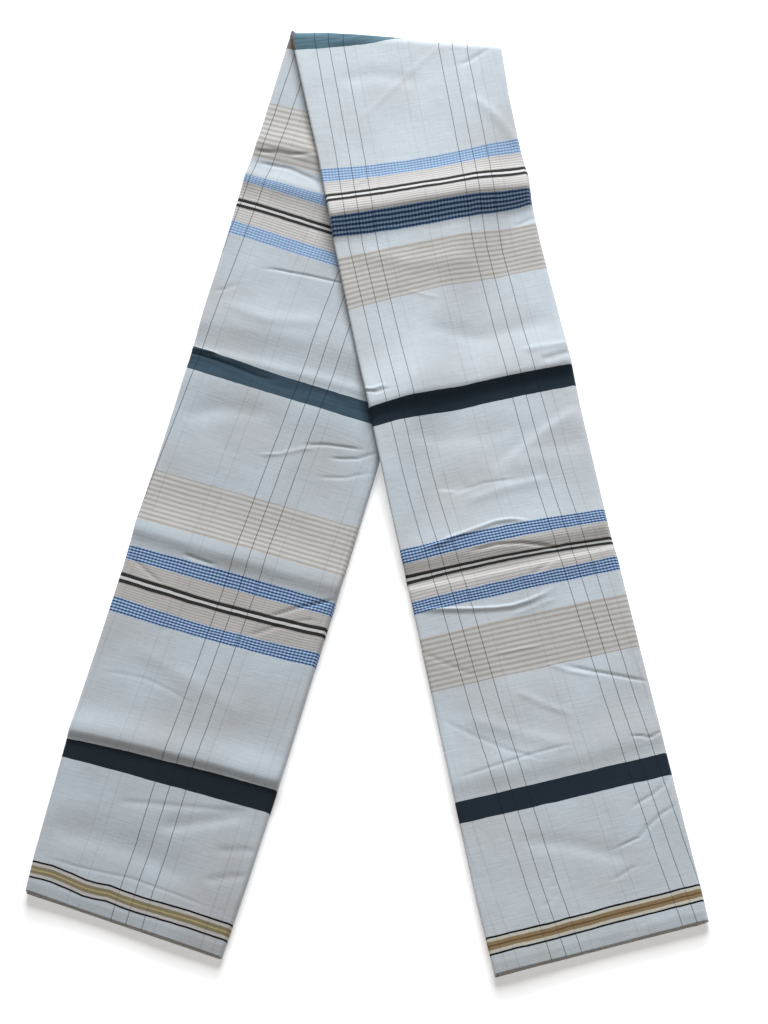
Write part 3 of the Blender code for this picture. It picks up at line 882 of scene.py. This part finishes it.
    # The ground with its random blotches, and painted shade on the under leg
    ink["plainGround"] = layCoats(tree, ink["ground"], ink, [
        ("groundShade", levels["blotch"]), ("groundPaintedShade", underLegShadeMask),
        ("groundBlotchPaintedShade", underLegShadeMask, levels["blotch"])])
    colour = layCoats(tree, ink["plainGround"], ink, [
        ("beigeGround", bands["beiges"]), ("beige", bands["beiges"], beigeWave),
        ("pinGround", bands["pins"]), ("pinLine", bands["pins"], pinWave),
        # painted shade on the pins of the under leg
        ("pinPaintedShade", bands["pins"], pinsShaded, strength["pinPaintedShade"]),
        # the blues lighter near the turn: painted light
        ("blueLight", bands["blues"]), ("blue", bands["blues"], blueInk, levels["paintedLight"]),
        # painted shade on the blues below the over leg's high step
        ("bluePaintedShade", bands["blues"], bands["shadedBlues"], strength["bluePaintedShade"]),
        ("pinGround", bands["gap"]), ("black", bands["black"], levels["hatch"]),
        ("slateUnder", bands["slate"]), ("slate", bands["slate"], onOver),
        # painted sheen on the slate bands that face the light, stronger on the turn, broken by
        # streaks
        ("slatePaintedSheen", bands["slate"], bands["sheenSlate"]),
        ("slateTurnPaintedSheen", bands["slate"], bands["turnSheenSlate"]),
        ("slate", bands["slate"], bands["sheenSlate"], streaks, strength["streaks"]),
        # plain at each hem, with the woven border
        ("plainGround", atHem),
        ("borderGroundUnder", bands["border"]), ("borderGround", bands["border"], onOver),
        ("goldUnder", bands["gold"]), ("gold", bands["gold"], onOver),
        ("goldUnderLine", bands["goldLine"]), ("goldLine", bands["goldLine"], onOver),
        ("border", bands["borderLine"]),
        # warp threads cross everything, broken where the weft covers them
        ("warpLine", threads["warp"], levels["warpBreak"], levels["covered"]),
        ("warpLine", threads["ghost"], uneven["patch"], strength["ghosts"])])
    if isInside:
        colour = layCoats(tree, colour, ink, [("rawEdge", strength["rawEdge"])])
    colour = layCoats(tree, colour, ink, [("cornerShade", corner, strength["cornerShade"])])
    yarnShade = addNode(tree, "CombineXYZ", (levels["yarn"],) * 3)
    colour = addNode(tree, "Mix", {0: 1.0, 6: colour, 7: yarnShade}, output=2,
                     data_type="RGBA", blend_type="MULTIPLY")
    tree.links.new(colour, shader.inputs["Base Color"])

    # Plain weave, threads over and under each other, in cloth that is a little crumpled
    relief = addNode(tree, "Math", (waves["warp"], waves["weft"]), "MULTIPLY")
    relief = addNode(tree, "Math", (relief, look["weaveRelief"], yarns), "MULTIPLY_ADD")
    crumple = addNode(tree, "TexNoise", {"Vector": flat, "Scale": 1 / look["crumple"],
                                         "Detail": 4, "Roughness": 0.55})
    relief = addNode(tree, "Math", (crumple, look["crumpleRelief"], relief), "MULTIPLY_ADD")
    bump = addNode(tree, "Bump", {**look["bump"], "Height": relief})
    tree.links.new(bump, shader.inputs["Normal"])
    return material


prepareLegs()
stripedCotton = clothMaterial("stripedHandloomCotton", False)
foldedCotton = clothMaterial("foldedHandloomCotton", True)
print("materials made")

underCover = buildCover(underLeg, stripedCotton)
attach(underCover, "root")
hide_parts("under_leg_cloth")
print("under leg cover made")

overCover = buildCover(overLeg, stripedCotton)
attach(overCover, "root")
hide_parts("over_leg_cloth", "apex_cloth")
print("over leg cover made")

underLayers = buildLayers(underLeg, foldedCotton)
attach(underLayers, "root")
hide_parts("under_leg_layers")

overLayers = buildLayers(overLeg, foldedCotton)
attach(overLayers, "root")
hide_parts("over_leg_layers", "apex_layers")
print("layers made")

# Floor, light and camera, in metres and degrees
stage = {
    "paper": "#FAFAFA",
    "paperGlow": 0.33,
    "floorHalf": 4,
    "floorDrop": 0.0002,  # below the cloth, so that the two don't flicker
    "room": "#F7F0E8",
    "roomLight": 0.24,
    "lampColour": (0.94, 0.97, 1.0),
    "lamps": [  # a large softbox, and a low one that rakes the creases
        {"watts": 80.0, "place": (0.12, 2.25, 1.80), "size": (1.6, 1.3)},
        {"watts": 47.0, "place": (0.05, 2.75, 1.15), "size": (1.6, 0.3)}],
    "lens": 149.06,  # mm, on a sensor 36 mm wide
    "cameraPlace": (0.0103, -1.1405, 2.4033),
    "cameraTilt": 25,  # from straight down
}


def buildStage():
    # Uncoated white paper: matt, with a faint glow that stands for the light around it
    paper, _ = newMaterial("matteWhitePaper", {
        "Base Color": linearColour(stage["paper"]), "Roughness": 0.9,
        "Emission Color": (1, 1, 1, 1), "Emission Strength": stage["paperGlow"]})
    mesh = bmesh.new()
    bmesh.ops.create_grid(mesh, x_segments=1, y_segments=1, size=stage["floorHalf"])
    bmesh.ops.translate(mesh, verts=mesh.verts, vec=(0, 0, -stage["floorDrop"]))
    addObject("floor", mesh, paper)

    world = bpy.data.worlds.new("softRoom")
    world.use_nodes = True
    background = world.node_tree.nodes["Background"]
    background.inputs["Color"].default_value = linearColour(stage["room"])
    background.inputs["Strength"].default_value = stage["roomLight"]
    bpy.context.scene.world = world

    for values in stage["lamps"]:
        lamp = bpy.data.lights.new("softbox", "AREA")
        lamp.shape = "RECTANGLE"
        lamp.size, lamp.size_y = values["size"]
        lamp.energy = values["watts"]
        lamp.color = stage["lampColour"]
        softbox = bpy.data.objects.new("softbox", lamp)
        softbox.location = values["place"]
        softbox.rotation_euler = (-Vector(values["place"])).to_track_quat("-Z", "Y").to_euler()
        bpy.context.scene.collection.objects.link(softbox)

    lens = bpy.data.cameras.new("photoCamera")
    lens.lens = stage["lens"]
    lens.sensor_width = 36
    camera = bpy.data.objects.new("photoCamera", lens)
    camera.location = stage["cameraPlace"]
    camera.rotation_euler = (math.radians(stage["cameraTilt"]), 0, 0)
    bpy.context.scene.collection.objects.link(camera)
    bpy.context.scene.camera = camera
    bpy.context.scene.view_settings.view_transform = "Standard"


buildStage()
print("stage made")
